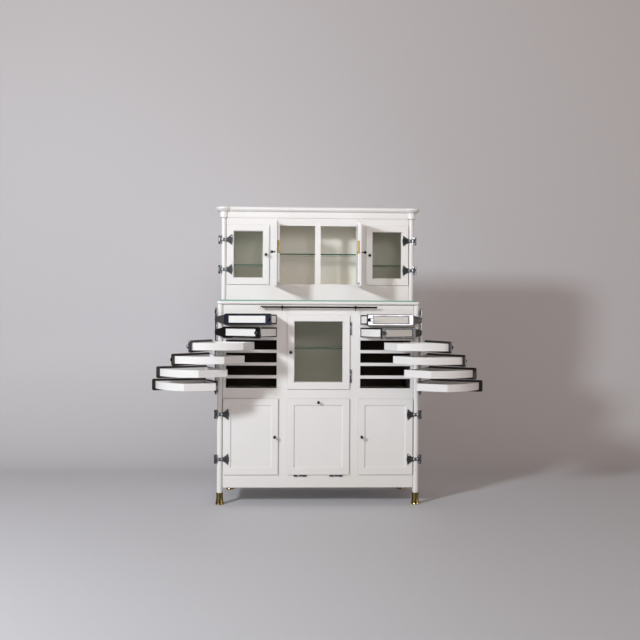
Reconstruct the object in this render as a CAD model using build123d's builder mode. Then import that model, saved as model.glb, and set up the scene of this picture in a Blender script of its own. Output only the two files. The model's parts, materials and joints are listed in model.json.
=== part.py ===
from build123d import *
from dataclasses import dataclass
from math import asin, atan2, cos, degrees, hypot, radians, sin, sqrt
import os

# Free-standing dental cabinet. A base unit with swing-out drawers, doors and a drop front carries a glass
# worktop, and a shallower upper unit with glazed doors and a moulded cornice stands on the glass.
# X runs to the right, Y to the back and Z up. The sizes below are measured from the floor, the centre line
# and the plane of the base unit's face frame, and each finished piece is moved so that the origin is the
# middle of the left front foot's underside. The drawers are fanned out and the two centre doors stand open.

# Main sizes
column_span = 1008  # between the axes of the front columns
case_depth = 415  # face frame to back
setback = 200  # base face frame to upper face frame
apron_bottom = 86
base_top = 1027
upper_height = 445  # top of the glass to the underside of the cornice

# Boards and panels
frame_thickness = 20
side_thickness = 18
board_thickness = 16
back_thickness = 8
glue_line = 0.1  # hairline between boards and bars

# Columns, legs and feet
column_diameter = 30
upper_column_diameter = 27
column_proud = 7  # columns stand this far in front of the face frame
leg_inset = 16  # rear leg axis to the side panel
leg_from_back = 25
ferrule_height = 60
ferrule_wall = 1.5
ferrule_flare = 5
ferrule_floor = 4

# Base face frame
outer_stile = 14  # in both units
inner_stile = 64
centre_width = 302  # opening between the inner stiles
lower_opening_bottom = 161.5
lower_opening_top = 533
glazed_opening_bottom = 600
glazed_opening_top = 962
slot_count = 6
slot_height = 49.5
slot_pitch = 65.5
first_slot = 621.3  # centre of the lowest slot

# Upper face frame
mullion_width = 30
centre_opening_width = 191.5
between_stile = 63.5  # between the centre and the outer openings
outer_opening_bottom = 1144.5
outer_opening_top = 1446
centre_opening_bottom = 1139
centre_opening_top = 1453

# Worktop
worktop_thickness = 15.5
worktop_overhang = 18  # past the column axes, at the sides
worktop_front = 16
worktop_corner = 20
glass_thickness = 6.5
glass_front = 4
glass_back_gap = 4
glass_corner = 8

# Cornice
cornice_height = 55
cornice_slab = 11.5
cornice_neck = 32
neck_proud = 4
slab_proud = 22
cap_neck_radius = 23
cap_slab_radius = 45

# Doors
lip_thickness = 8
block_thickness = 12
lip_lap = 9  # lip over the edge of the opening
column_gap = 2  # between a column and the lip beside it
centre_lap = 16  # lip above and below the centre openings
block_gap = 2
seat_gap = 0.5
panel_recess = 5
panel_bevel = 6
pane_thickness = 4
pane_rebate = 6
pane_clearance = 0.2

# Hinges
running = 0.05  # radial clearance of a pin in its knuckle
end_play = 0.3
pivot_out = 6  # pivot axis outside the column
knuckle_radius = 7.5
knuckle_height = 20
lug_radius = 8.5
lug_height = 12
lug_web = 10
pin_radius = 3
arm_thickness = 3
fan_reach = 69  # pivot axis to the end of the butterfly leaf
fan_height = 58
fan_from_end = 80  # end of the lip to the middle of a butterfly hinge
butt_length = 66
butt_middle = 26
butt_radius = 4
butt_pin = 1.5
butt_gap = 0.5
butt_foot = 6
butt_from_end = 68

# Knobs
spindle_radius = 3
ball_radius = 8
knob_reach = 27
rosette_radius = 6.5
rosette_thickness = 1.5
follower_radius = 5.5
follower_thickness = 2.5
knob_inset = 17

# Drawers
tray_height = 36
tray_wall = 5
tray_floor = 4
tray_depth_share = 0.74  # of the tray's reach from its pivot
tray_clearance = 4
tray_near = 52  # pivot axis to the near side of the tray
front_height = 58
front_thickness = 10
panel_near = 78  # pivot axis to the near edge of the face panel
panel_short = 17  # far edge of the face panel inside the tray's far side
panel_height = 34.5
front_near = 51
front_lap = 13
front_corner = 8
front_bevel = 3
front_recess = 3
front_fit = 0.2
rod_radius = 4
collar_radius = 6
drawer_knuckle_radius = 7
drawer_knuckle_height = 26
drawer_arm_thickness = 3.5
pull_radius = 9
pull_reach = 13
rod_bracket_height = 18
rod_bracket_gap = 16  # outermost knuckle to the rod bracket
left_angles = (27.2, 42.9, 107.4, 125.1, 148.0, 161.9)  # from the top drawer down
right_angles = (25.9, 44.6, 107.5, 123.0, 138.5, 153.8)

# Centre doors stand open
centre_left_angle = 90
centre_right_angle = 88.3

# Shelves and towel rail
shelf_thickness = 6
shelf_front_gap = 25
shelf_back_gap = 8
glazed_shelf = 797
outer_shelf = 1241
centre_shelf = 1301
shelf_pin_radius = 3
shelf_pin_reach = 10
shelf_pin_inset = 30
rail_radius = 4.75
rail_length = 597
rail_reach = 28
rail_height = 1012
rail_bracket_span = 375
rail_bracket_radius = 5
rail_ring_radius = 8
rail_ring_width = 10

# Derived places
column_x = column_span / 2
column_radius = column_diameter / 2
column_y = column_radius - column_proud
upper_column_radius = upper_column_diameter / 2
upper_column_y = setback + upper_column_radius - column_proud
frame_half = column_x - column_radius
upper_half = column_x - upper_column_radius
side_inner = centre_width / 2 + inner_stile
side_outer = frame_half - outer_stile
panel_half = column_x - side_thickness / 2  # inner faces of the side panels
panel_outer = panel_half + side_thickness
worktop_top = base_top + worktop_thickness
glass_top = worktop_top + glass_thickness
upper_top = glass_top + upper_height
cabinet_top = upper_top + cornice_height
slab_bottom = cabinet_top - cornice_slab
pivot_x = column_x + column_radius + pivot_out
face_gap = lip_thickness / 2  # hinge axes lie half a lip in front of the face frame
top_slot = first_slot + slot_pitch * (slot_count - 1)
partition_outer = side_inner - 3
upper_partition_inner = mullion_width / 2 + centre_opening_width + between_stile / 2 - board_thickness / 2
outer_opening_inner = mullion_width / 2 + centre_opening_width + between_stile
upper_outer_edge = upper_half - outer_stile
hinge_lap = outer_stile - column_gap
leg_x = panel_half - leg_inset
leg_y = case_depth - leg_from_back
to_origin = Location((column_x, -column_y, 0))

os.makedirs("parts", exist_ok=True)


def save(piece, name):
    """Move a finished piece to the origin, label it and write its file."""
    placed = Part([solid.moved(to_origin) for solid in piece.part.solids()])
    placed.label = name
    export_step(placed, f"parts/{name}.step")


def board(x, y, z):
    """Add a board between three pairs of limits, a hairline short of its neighbours."""
    sizes = [high - low - glue_line for low, high in (x, y, z)]
    with Locations([tuple((low + high) / 2 for low, high in (x, y, z))]):
        Box(*sizes)


def both_sides(low, high):
    """The same limits on the left and on the right of the centre line."""
    return (-high, -low), (low, high)


def swing_plane(x, y, side, angle):
    """Plane on an upright hinge axis, its x along the swung piece. Side is 1 at the left, -1 at the right."""
    turn = radians(angle)
    return Plane(origin=(-side * x, y, 0), x_dir=(side * cos(turn), -sin(turn), 0), z_dir=(0, 0, 1))


def front_plane(hinge, side, depth):
    """Plane facing forward at a depth behind the hinge axis, x along the piece and y along the axis."""
    forward = hinge.y_dir * -side
    return Plane(origin=hinge.origin - forward * depth, x_dir=hinge.x_dir, z_dir=forward)


# Base face frame: stiles, rails and slot dividers
slot_centres = [first_slot + slot_pitch * level for level in range(slot_count)]
slot_edges = [(centre - slot_height / 2, centre + slot_height / 2) for centre in slot_centres]
with BuildPart() as base_face_frame:
    frame_y = (0, frame_thickness)
    for x in (*both_sides(side_outer, frame_half), *both_sides(centre_width / 2, side_inner)):
        board(x, frame_y, (apron_bottom, base_top))
    for x in both_sides(side_inner, side_outer):
        board(x, frame_y, (apron_bottom, lower_opening_bottom))
        board(x, frame_y, (lower_opening_top, slot_edges[0][0]))
        for below, above in zip(slot_edges, slot_edges[1:]):
            board(x, frame_y, (below[1], above[0]))
        board(x, frame_y, (slot_edges[-1][1], base_top))
    centre_x = (-centre_width / 2, centre_width / 2)
    board(centre_x, frame_y, (apron_bottom, lower_opening_bottom))
    board(centre_x, frame_y, (lower_opening_top, glazed_opening_bottom))
    board(centre_x, frame_y, (glazed_opening_top, base_top))
save(base_face_frame, "base_face_frame")

# Upper face frame with its centre mullion
with BuildPart() as upper_face_frame:
    frame_y = (setback, setback + frame_thickness)
    centre_edge = mullion_width / 2 + centre_opening_width
    for x in (*both_sides(upper_outer_edge, upper_half), *both_sides(centre_edge, outer_opening_inner)):
        board(x, frame_y, (glass_top, upper_top))
    for x in both_sides(outer_opening_inner, upper_outer_edge):
        board(x, frame_y, (glass_top, outer_opening_bottom))
        board(x, frame_y, (outer_opening_top, upper_top))
    board((-centre_edge, centre_edge), frame_y, (glass_top, centre_opening_bottom))
    board((-centre_edge, centre_edge), frame_y, (centre_opening_top, upper_top))
    board((-mullion_width / 2, mullion_width / 2), frame_y, (centre_opening_bottom, centre_opening_top))
save(upper_face_frame, "upper_face_frame")

# Panels, decks and partitions of both units
bottom_deck = (lower_opening_bottom - board_thickness, lower_opening_bottom)
middle_rail = (lower_opening_top + slot_edges[0][0]) / 2
middle_deck = (middle_rail - board_thickness / 2, middle_rail + board_thickness / 2)
top_deck = (base_top - board_thickness, base_top)
upper_floor = (centre_opening_bottom - board_thickness, centre_opening_bottom)
upper_roof = (upper_top - board_thickness, upper_top)
with BuildPart() as carcass_panels:
    inside_y = (frame_thickness, case_depth - back_thickness)
    back_y = (case_depth - back_thickness, case_depth)
    partition_inner = partition_outer - board_thickness
    for x in both_sides(panel_half, panel_outer):
        board(x, (column_y + column_radius, case_depth), (apron_bottom, base_top))
    board((-panel_half, panel_half), back_y, (apron_bottom, base_top))
    board((-panel_half, panel_half), inside_y, bottom_deck)
    board((-panel_half, panel_half), inside_y, top_deck)
    for x in both_sides(partition_inner, partition_outer):
        board(x, inside_y, (bottom_deck[1], top_deck[0]))
    for x in (*both_sides(partition_outer, panel_half), (-partition_inner, partition_inner)):
        board(x, inside_y, middle_deck)
    upper_y = (setback + frame_thickness, case_depth - back_thickness)
    for x in both_sides(panel_half, panel_outer):
        board(x, (upper_column_y + upper_column_radius, case_depth), (glass_top, upper_top))
    board((-panel_half, panel_half), back_y, (glass_top, slab_bottom))
    board((-panel_half, panel_half), upper_y, upper_floor)
    board((-panel_half, panel_half), upper_y, upper_roof)
    for x in both_sides(upper_partition_inner, upper_partition_inner + board_thickness):
        board(x, upper_y, (upper_floor[1], upper_roof[0]))
save(carcass_panels, "carcass_panels")

# Front columns, rear legs and upper columns
with BuildPart() as posts:
    with BuildSketch(Plane.XY.offset(ferrule_floor)):
        with Locations((-column_x, column_y), (column_x, column_y)):
            Circle(column_radius)
    extrude(amount=base_top - ferrule_floor)
    with BuildSketch(Plane.XY.offset(ferrule_floor)):
        with Locations((-leg_x, leg_y), (leg_x, leg_y)):
            Circle(column_radius)
    extrude(amount=bottom_deck[0] - ferrule_floor)
    with BuildSketch(Plane.XY.offset(glass_top)):
        with Locations((-column_x, upper_column_y), (column_x, upper_column_y)):
            Circle(upper_column_radius)
    extrude(amount=upper_height)
save(posts, "posts")

# Brass ferrule feet, one turned profile on each post
foot_places = [(-column_x, column_y), (column_x, column_y), (-leg_x, leg_y), (leg_x, leg_y)]
ferrule_radius = column_radius + ferrule_wall
flare_radius = ferrule_radius + ferrule_flare
toe_height = ferrule_height / 10
with BuildPart() as ferrule_feet:
    for x, y in foot_places:
        with BuildSketch(Plane(origin=(x, y, 0), x_dir=(1, 0, 0), z_dir=(0, -1, 0))):
            with BuildLine():
                Polyline((column_radius, ferrule_height), (column_radius, ferrule_floor), (0, ferrule_floor))
                Polyline((0, ferrule_floor), (0, 0), (flare_radius - 1, 0), (flare_radius, toe_height / 2))
                Line((flare_radius, toe_height / 2), (flare_radius - 1, toe_height))
                Spline(
                    (flare_radius - 1, toe_height),
                    (ferrule_radius + 0.5, ferrule_height / 2),
                    (ferrule_radius, ferrule_height - 6),
                )
                Polyline(
                    (ferrule_radius, ferrule_height - 6),
                    (ferrule_radius + 1, ferrule_height - 4),
                    (ferrule_radius + 1, ferrule_height),
                    (column_radius, ferrule_height),
                )
            make_face()
        revolve(axis=Axis((x, y, 0), (0, 0, 1)))
save(ferrule_feet, "ferrule_feet")

# Worktop board with rounded front corners and a half-round nose
worktop_half = column_x + worktop_overhang
with BuildPart() as worktop_moulding:
    with BuildSketch(Plane.XY.offset(base_top)):
        with Locations((0, (case_depth - worktop_front) / 2)):
            Rectangle(2 * worktop_half, case_depth + worktop_front)
        fillet(vertices().group_by(Axis.Y)[0], worktop_corner)
    extrude(amount=worktop_thickness)
    for rim in (edges().group_by(Axis.Z)[-1], edges().group_by(Axis.Z)[0]):
        fillet(rim.filter_by(lambda edge: edge.center().Y < case_depth - 1), worktop_thickness / 3)
save(worktop_moulding, "worktop_moulding")

with BuildPart() as worktop_glass:
    with BuildSketch(Plane.XY.offset(worktop_top)):
        with Locations((0, (case_depth - glass_back_gap - glass_front) / 2)):
            Rectangle(column_span, case_depth - glass_back_gap + glass_front)
        fillet(vertices().group_by(Axis.Y)[0], glass_corner)
    extrude(amount=glass_thickness)
    chamfer(edges().group_by(Axis.Z)[-1], glass_thickness / 8)
save(worktop_glass, "worktop_glass")

# Cornice: a moulding along the front and the sides, round caps over the columns and a top slab
neck_top = upper_top + cornice_neck
neck_y = setback - neck_proud
slab_y = setback - slab_proud
neck_x = panel_outer + neck_proud
slab_x = panel_outer + slab_proud
with BuildPart() as cornice:
    with BuildSketch(Plane(origin=(-column_x, 0, 0), x_dir=(0, 1, 0), z_dir=(1, 0, 0))):
        with BuildLine():
            Polyline((setback + frame_thickness, upper_top), (neck_y, upper_top), (neck_y, neck_top))
            RadiusArc((neck_y, neck_top), (slab_y, slab_bottom), slab_proud)
            Polyline((slab_y, slab_bottom), (setback + frame_thickness, slab_bottom))
            Line((setback + frame_thickness, slab_bottom), (setback + frame_thickness, upper_top))
        make_face()
    extrude(amount=column_span)
    for side in (-1, 1):
        inner_x = panel_half * side
        with BuildSketch(Plane(origin=(0, case_depth, 0), x_dir=(1, 0, 0), z_dir=(0, -1, 0))):
            with BuildLine():
                Polyline((inner_x, upper_top), (neck_x * side, upper_top), (neck_x * side, neck_top))
                RadiusArc((neck_x * side, neck_top), (slab_x * side, slab_bottom), -side * slab_proud)
                Polyline((slab_x * side, slab_bottom), (inner_x, slab_bottom), (inner_x, upper_top))
            make_face()
        extrude(amount=case_depth - upper_column_y)
        axis_x = side * column_x
        with BuildSketch(Plane(origin=(axis_x, upper_column_y, 0), x_dir=(1, 0, 0), z_dir=(0, -1, 0))):
            with BuildLine():
                Polyline((0, slab_bottom + cornice_slab), (0, upper_top), (cap_neck_radius, upper_top))
                Line((cap_neck_radius, upper_top), (cap_neck_radius, neck_top))
                RadiusArc((cap_neck_radius, neck_top), (cap_slab_radius - 2, slab_bottom), -slab_proud)
                Polyline(
                    (cap_slab_radius - 2, slab_bottom),
                    (cap_slab_radius, slab_bottom + 2),
                    (cap_slab_radius, cabinet_top - 3),
                    (cap_slab_radius - 3, cabinet_top),
                    (0, cabinet_top),
                )
            make_face()
        revolve(axis=Axis((axis_x, upper_column_y, 0), (0, 0, 1)))
    with BuildSketch(Plane.XY.offset(slab_bottom)):
        with Locations((0, (slab_y + case_depth) / 2)):
            Rectangle(2 * slab_x, case_depth - slab_y)
    extrude(amount=cornice_slab)
save(cornice, "cornice")


@dataclass
class Shelf:
    """A glass shelf between two upright faces, with its front and back edges and its underside."""

    low_x: float
    high_x: float
    front: float
    back: float
    height: float


shelf_back = case_depth - back_thickness - shelf_back_gap
upper_shelf_front = setback + frame_thickness + shelf_front_gap
partition_face = upper_partition_inner + board_thickness
shelves = [
    Shelf(-partition_inner, partition_inner, frame_thickness + shelf_front_gap, shelf_back, glazed_shelf),
    Shelf(-upper_partition_inner, upper_partition_inner, upper_shelf_front, shelf_back, centre_shelf),
    Shelf(-panel_half, -partition_face, upper_shelf_front, shelf_back, outer_shelf),
    Shelf(partition_face, panel_half, upper_shelf_front, shelf_back, outer_shelf),
]
with BuildPart() as glass_shelves:
    for shelf in shelves:
        shelf_z = (shelf.height, shelf.height + shelf_thickness)
        board((shelf.low_x + 1, shelf.high_x - 1), (shelf.front, shelf.back), shelf_z)
save(glass_shelves, "glass_shelves")

# Towel rail under the front of the worktop, through a ring on each of its two brackets
with BuildPart() as towel_rail:
    rail_axis = Plane(origin=(-rail_length / 2, -rail_reach, rail_height), x_dir=(0, 1, 0), z_dir=(1, 0, 0))
    with BuildSketch(rail_axis):
        Circle(rail_radius)
    extrude(amount=rail_length)
    for x in (-rail_bracket_span / 2, rail_bracket_span / 2):
        with BuildSketch(rail_axis.offset(x + rail_length / 2 - rail_ring_width / 2)):
            Circle(rail_ring_radius)
            with Locations((rail_reach / 2, 0)):
                Rectangle(rail_reach, 2 * rail_bracket_radius)
            Circle(rail_radius + running, mode=Mode.SUBTRACT)
        extrude(amount=rail_ring_width)
save(towel_rail, "towel_rail")


@dataclass
class Door:
    """A lipped door. Its limits are those of its opening, along the door from the axis and along the axis."""

    name: str
    closed: Plane  # on the hinge axis, with x along the closed door
    hinge: Plane  # the same, with x along the door where it stands
    side: int
    near: float
    far: float
    low: float
    high: float
    laps: tuple  # lip past the near, far and end edges of the opening
    margins: tuple  # lip edge to the glass or panel: near, far, low and high
    glazed: bool
    column: tuple = ()  # depth and radius of the column that its butterfly hinges reach round


side_margins = (36, 32, 35, 31)
flap_margins = (35, 31, 34, 34)
glazed_margins = (34, 34, 35, 30)
centre_margins = (36, 32, 46, 43)
even_laps = (lip_lap, lip_lap, lip_lap)
column_laps = (hinge_lap, lip_lap, lip_lap)
butt_axis = butt_radius + butt_gap  # butt hinge axis to the edge of the lip
centre_axis = mullion_width / 2 + centre_opening_width + lip_lap + butt_axis
doors = []
for side, name, angle in ((1, "left", centre_left_angle), (-1, "right", centre_right_angle)):
    lower_axis = swing_plane(pivot_x, -face_gap, side, 0)
    upper_axis = swing_plane(pivot_x, setback - face_gap, side, 0)
    doors.append(
        Door(
            f"lower_{name}_door",
            lower_axis,
            lower_axis,
            side,
            pivot_x - side_outer,
            pivot_x - side_inner,
            lower_opening_bottom,
            lower_opening_top,
            column_laps,
            side_margins,
            glazed=False,
            column=(column_y, column_radius),
        )
    )
    doors.append(
        Door(
            f"upper_{name}_door",
            upper_axis,
            upper_axis,
            side,
            pivot_x - upper_outer_edge,
            pivot_x - outer_opening_inner,
            outer_opening_bottom,
            outer_opening_top,
            column_laps,
            side_margins,
            glazed=True,
            column=(upper_column_y, upper_column_radius),
        )
    )
    doors.append(
        Door(
            f"centre_{name}_door",
            swing_plane(centre_axis, setback - face_gap, side, 0),
            swing_plane(centre_axis, setback - face_gap, side, angle),
            side,
            lip_lap + butt_axis,
            centre_axis - mullion_width / 2,
            centre_opening_bottom,
            centre_opening_top,
            (lip_lap, lip_lap, centre_lap),
            centre_margins,
            glazed=True,
        )
    )
glazed_axis = swing_plane(centre_width / 2 + lip_lap + butt_axis, -face_gap, -1, 0)
doors.append(
    Door(
        "glazed_door",
        glazed_axis,
        glazed_axis,
        -1,
        lip_lap + butt_axis,
        lip_lap + butt_axis + centre_width,
        glazed_opening_bottom,
        glazed_opening_top,
        even_laps,
        glazed_margins,
        glazed=True,
    )
)
flap_height = lower_opening_bottom - lip_lap - butt_axis
flap_axis = Plane(origin=(0, -face_gap, flap_height), x_dir=(0, 0, 1), z_dir=(-1, 0, 0))
doors.append(
    Door(
        "drop_front",
        flap_axis,
        flap_axis,
        1,
        lip_lap + butt_axis,
        lower_opening_top - flap_height,
        -centre_width / 2,
        centre_width / 2,
        even_laps,
        flap_margins,
        glazed=False,
    )
)


def lip_limits(door):
    """Edges of a door's lip: near, far, low and high."""
    near_lap, far_lap, end_lap = door.laps
    return door.near - near_lap, door.far + far_lap, door.low - end_lap, door.high + end_lap


def field_limits(door):
    """Edges of a door's glass or sunk panel: near, far, low and high."""
    near, far, low, high = lip_limits(door)
    near_margin, far_margin, low_margin, high_margin = door.margins
    return near + near_margin, far - far_margin, low + low_margin, high - high_margin


def hinge_heights(door):
    """Middles of a door's two hinges along its axis."""
    low, high = lip_limits(door)[2:]
    from_end = fan_from_end if door.column else butt_from_end
    return low + from_end, high - from_end


def knob_place(door):
    """Middle of a door's knob: along the door and along its hinge axis."""
    return lip_limits(door)[1] - knob_inset, (door.low + door.high) / 2


def rectangle_on(door, near, far, low, high):
    """Add a rectangle between limits to the sketch on a door's front plane."""
    with Locations(((near + far) / 2, door.side * (low + high) / 2)):
        Rectangle(far - near, high - low)


def build_leaf(door):
    """A door leaf: a lip in front of the frame and a block in the opening, glazed or with a sunk panel."""
    near, far, low, high = lip_limits(door)
    field = field_limits(door)
    face = front_plane(door.hinge, door.side, -face_gap)
    seat = front_plane(door.hinge, door.side, face_gap - seat_gap)
    back = front_plane(door.hinge, door.side, face_gap + block_thickness)
    pane_middle = front_plane(door.hinge, door.side, face_gap + block_thickness / 2)
    with BuildPart() as leaf:
        with BuildSketch(seat):
            rectangle_on(door, near, far, low, high)
        extrude(amount=lip_thickness - seat_gap)
        chamfer(faces().sort_by(Axis(face.origin, face.z_dir))[-1].edges(), 1)
        with BuildSketch(back):
            rectangle_on(
                door, door.near + block_gap, door.far - block_gap, door.low + block_gap, door.high - block_gap
            )
        extrude(amount=block_thickness + seat_gap)
        if door.glazed:
            with BuildSketch(back):
                rectangle_on(door, *field)
            extrude(amount=block_thickness + lip_thickness, mode=Mode.SUBTRACT)
            grow = pane_rebate + pane_clearance
            with BuildSketch(pane_middle):
                rectangle_on(door, field[0] - grow, field[1] + grow, field[2] - grow, field[3] + grow)
            extrude(amount=pane_thickness / 2 + pane_clearance, both=True, mode=Mode.SUBTRACT)
        else:
            with BuildSketch(face):
                rectangle_on(door, *field)
            with BuildSketch(face.offset(-panel_recess)):
                bevel = panel_bevel
                rectangle_on(door, field[0] + bevel, field[1] - bevel, field[2] + bevel, field[3] - bevel)
            loft(mode=Mode.SUBTRACT)
        along, height = knob_place(door)
        with BuildSketch(back):
            with Locations((along, door.side * height)):
                Circle(spindle_radius + running)
        extrude(amount=block_thickness + lip_thickness, mode=Mode.SUBTRACT)
        if not door.column:
            for middle in hinge_heights(door):
                with BuildSketch(door.hinge.offset(middle - butt_middle / 2)):
                    Circle(butt_radius)
                    with Locations((butt_axis / 2 + 1, 0)):
                        Rectangle(butt_axis + 2, butt_radius)
                    Circle(butt_pin + running, mode=Mode.SUBTRACT)
                extrude(amount=butt_middle)
    return leaf


def build_pane(door):
    """The glass of a glazed door, caught in the groove of its leaf."""
    near, far, low, high = field_limits(door)
    grow = pane_rebate
    with BuildPart() as pane:
        with BuildSketch(front_plane(door.hinge, door.side, face_gap + block_thickness / 2)):
            rectangle_on(door, near - grow, far + grow, low - grow, high + grow)
        extrude(amount=pane_thickness / 2, both=True)
    return pane


def build_knob(door):
    """A turning knob: ball, neck and rosette on a spindle through the door, with a follower behind it."""
    face = front_plane(door.hinge, door.side, -face_gap)
    along, height = knob_place(door)
    centre = face.from_local_coords((along, door.side * height, 0))
    behind = -(lip_thickness + block_thickness) - end_play
    ball_centre = knob_reach - ball_radius
    neck_end = ball_centre - sqrt(ball_radius**2 - spindle_radius**2)
    turning = Plane(origin=centre, x_dir=door.hinge.x_dir, z_dir=door.hinge.z_dir * -door.side)
    with BuildPart() as knob:
        with BuildSketch(turning):
            with BuildLine():
                Polyline(
                    (0, knob_reach),
                    (0, behind - follower_thickness),
                    (follower_radius, behind - follower_thickness),
                    (follower_radius, behind),
                    (spindle_radius, behind),
                    (spindle_radius, end_play),
                    (rosette_radius, end_play),
                    (rosette_radius, end_play + rosette_thickness),
                    (spindle_radius, end_play + 2 * rosette_thickness),
                    (spindle_radius, neck_end),
                )
                ThreePointArc((spindle_radius, neck_end), (ball_radius, ball_centre), (0, knob_reach))
            make_face()
        revolve(axis=Axis(centre, face.z_dir))
    return knob


def build_butterfly_hinges(door):
    """Two hinge arms: a knuckle on the pivot, a neck in front of the column and a fan on the door."""
    face = front_plane(door.hinge, door.side, -face_gap)
    half = fan_height / 2
    neck = knuckle_height / 2 - 1
    fan_start = lip_limits(door)[0] - 6
    outline = [
        (0, neck),
        (fan_start, neck - 2),
        (fan_start + (fan_reach - fan_start) * 0.45, half * 0.55),
        (fan_reach - 5, half),
        (fan_reach - 2, half * 0.45),
        (fan_reach, 0),
    ]
    outline += [(along, -rise) for along, rise in reversed(outline[:-1])]
    with BuildPart() as arms:
        for middle in hinge_heights(door):
            with BuildSketch(face):
                with BuildLine():
                    Polyline([(along, door.side * (middle + rise)) for along, rise in outline], close=True)
                make_face()
            extrude(amount=arm_thickness)
            with BuildSketch(door.hinge.offset(middle - knuckle_height / 2)):
                Circle(knuckle_radius)
                Circle(pin_radius + running, mode=Mode.SUBTRACT)
            extrude(amount=knuckle_height)
    return arms


for door in doors:
    save(build_leaf(door), door.name)
    save(build_knob(door), f"{door.name}_knob")
    if door.glazed:
        save(build_pane(door), f"{door.name}_pane")
    if door.column:
        save(build_butterfly_hinges(door), f"{door.name}_hinges")

# Plan of a drawer, measured along its front from the pivot and back from it. The tray's far side is an arc
# about the pivot, inside the edge of the slot.
pivot_y = -face_gap
front_back = 2
tray_front = front_back + front_fit
slot_reach = pivot_x - side_inner
tray_far = slot_reach - tray_clearance
tray_depth = tray_far * tray_depth_share
panel_far = tray_far - panel_short
front_far = slot_reach + front_lap


def tray_outline(side, inset):
    """Plan of a tray, set in by a wall: straight front, near side and back, and the arc of the far side."""
    radius = tray_far - inset
    near, front, back = tray_near + inset, tray_front + inset, tray_depth - inset
    first, last = asin(front / radius), asin(back / radius)
    turns = (first, (first + last) / 2, last)
    start, middle, end = [(radius * cos(turn), side * radius * sin(turn)) for turn in turns]
    ThreePointArc(start, middle, end)
    Polyline(end, (near, side * back), (near, side * front), start)


def build_tray(side, hinge, middle):
    """An open tray that swings out on its pivot rod, with a raised panel on its face."""
    floor = middle - tray_height / 2
    cavity_height = tray_height - tray_floor
    with BuildPart() as tray:
        with BuildSketch(hinge.offset(floor)):
            with BuildLine():
                tray_outline(side, 0)
            make_face()
        extrude(amount=tray_height)
        with BuildSketch(hinge.offset(floor + tray_floor)):
            with BuildLine():
                tray_outline(side, tray_wall)
            make_face()
        extrude(amount=cavity_height, mode=Mode.SUBTRACT)
        with BuildSketch(front_plane(hinge, side, tray_front + tray_wall / 2)):
            with Locations(((panel_near + panel_far) / 2, side * middle)):
                Rectangle(panel_far - panel_near, panel_height)
        extrude(amount=tray_wall / 2 + front_fit + front_thickness - front_recess)
    return tray


def build_drawer_front(side, hinge, middle):
    """A frame round the face of a tray, its flared arm to the pivot rod and its pull knob."""
    back = front_plane(hinge, side, front_back)
    face = back.offset(front_thickness)
    half = front_height / 2
    root = drawer_knuckle_height / 2 - 1
    pull_along = (panel_far + front_far) / 2
    with BuildPart() as front:
        with BuildSketch(back):
            with Locations(((front_near + front_far) / 2, side * middle)):
                RectangleRounded(front_far - front_near, front_height, front_corner)
            with Locations(((panel_near + panel_far) / 2, side * middle)):
                Rectangle(
                    panel_far - panel_near + 2 * front_fit, panel_height + 2 * front_fit, mode=Mode.SUBTRACT
                )
        extrude(amount=front_thickness)
        chamfer(faces().sort_by(Axis(face.origin, face.z_dir))[-1].edges(), front_bevel)
        with BuildSketch(face.offset(-drawer_arm_thickness)):
            with BuildLine():
                flare = [(0, root), (front_near / 5, root), (front_near / 3, half * 0.56)]
                flare.append((front_near + front_bevel, half * 0.8))
                flare += [(along, -rise) for along, rise in reversed(flare)]
                Polyline([(along, side * (middle + rise)) for along, rise in flare], close=True)
            make_face()
        extrude(amount=drawer_arm_thickness)
        with BuildSketch(hinge.offset(middle - drawer_knuckle_height / 2)):
            Circle(drawer_knuckle_radius)
            Circle(rod_radius + running, mode=Mode.SUBTRACT)
        extrude(amount=drawer_knuckle_height)
        with BuildSketch(face):
            with Locations((pull_along, side * middle)):
                Circle(pull_radius * 0.6)
        extrude(amount=pull_reach / 2)
        with BuildSketch(face.offset(pull_reach / 2)):
            with Locations((pull_along, side * middle)):
                Circle(pull_radius)
        extrude(amount=pull_reach / 2)
        chamfer(edges().filter_by(GeomType.CIRCLE).sort_by(Axis(face.origin, face.z_dir))[-1], 1.5)
    return front


for side, name, angles in ((1, "left", left_angles), (-1, "right", right_angles)):
    for number, angle in enumerate(angles, 1):
        hinge = swing_plane(pivot_x, pivot_y, side, angle)
        middle = top_slot - slot_pitch * (number - 1)
        save(build_tray(side, hinge, middle), f"{name}_drawer_{number}_tray")
        save(build_drawer_front(side, hinge, middle), f"{name}_drawer_{number}_front")

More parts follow.
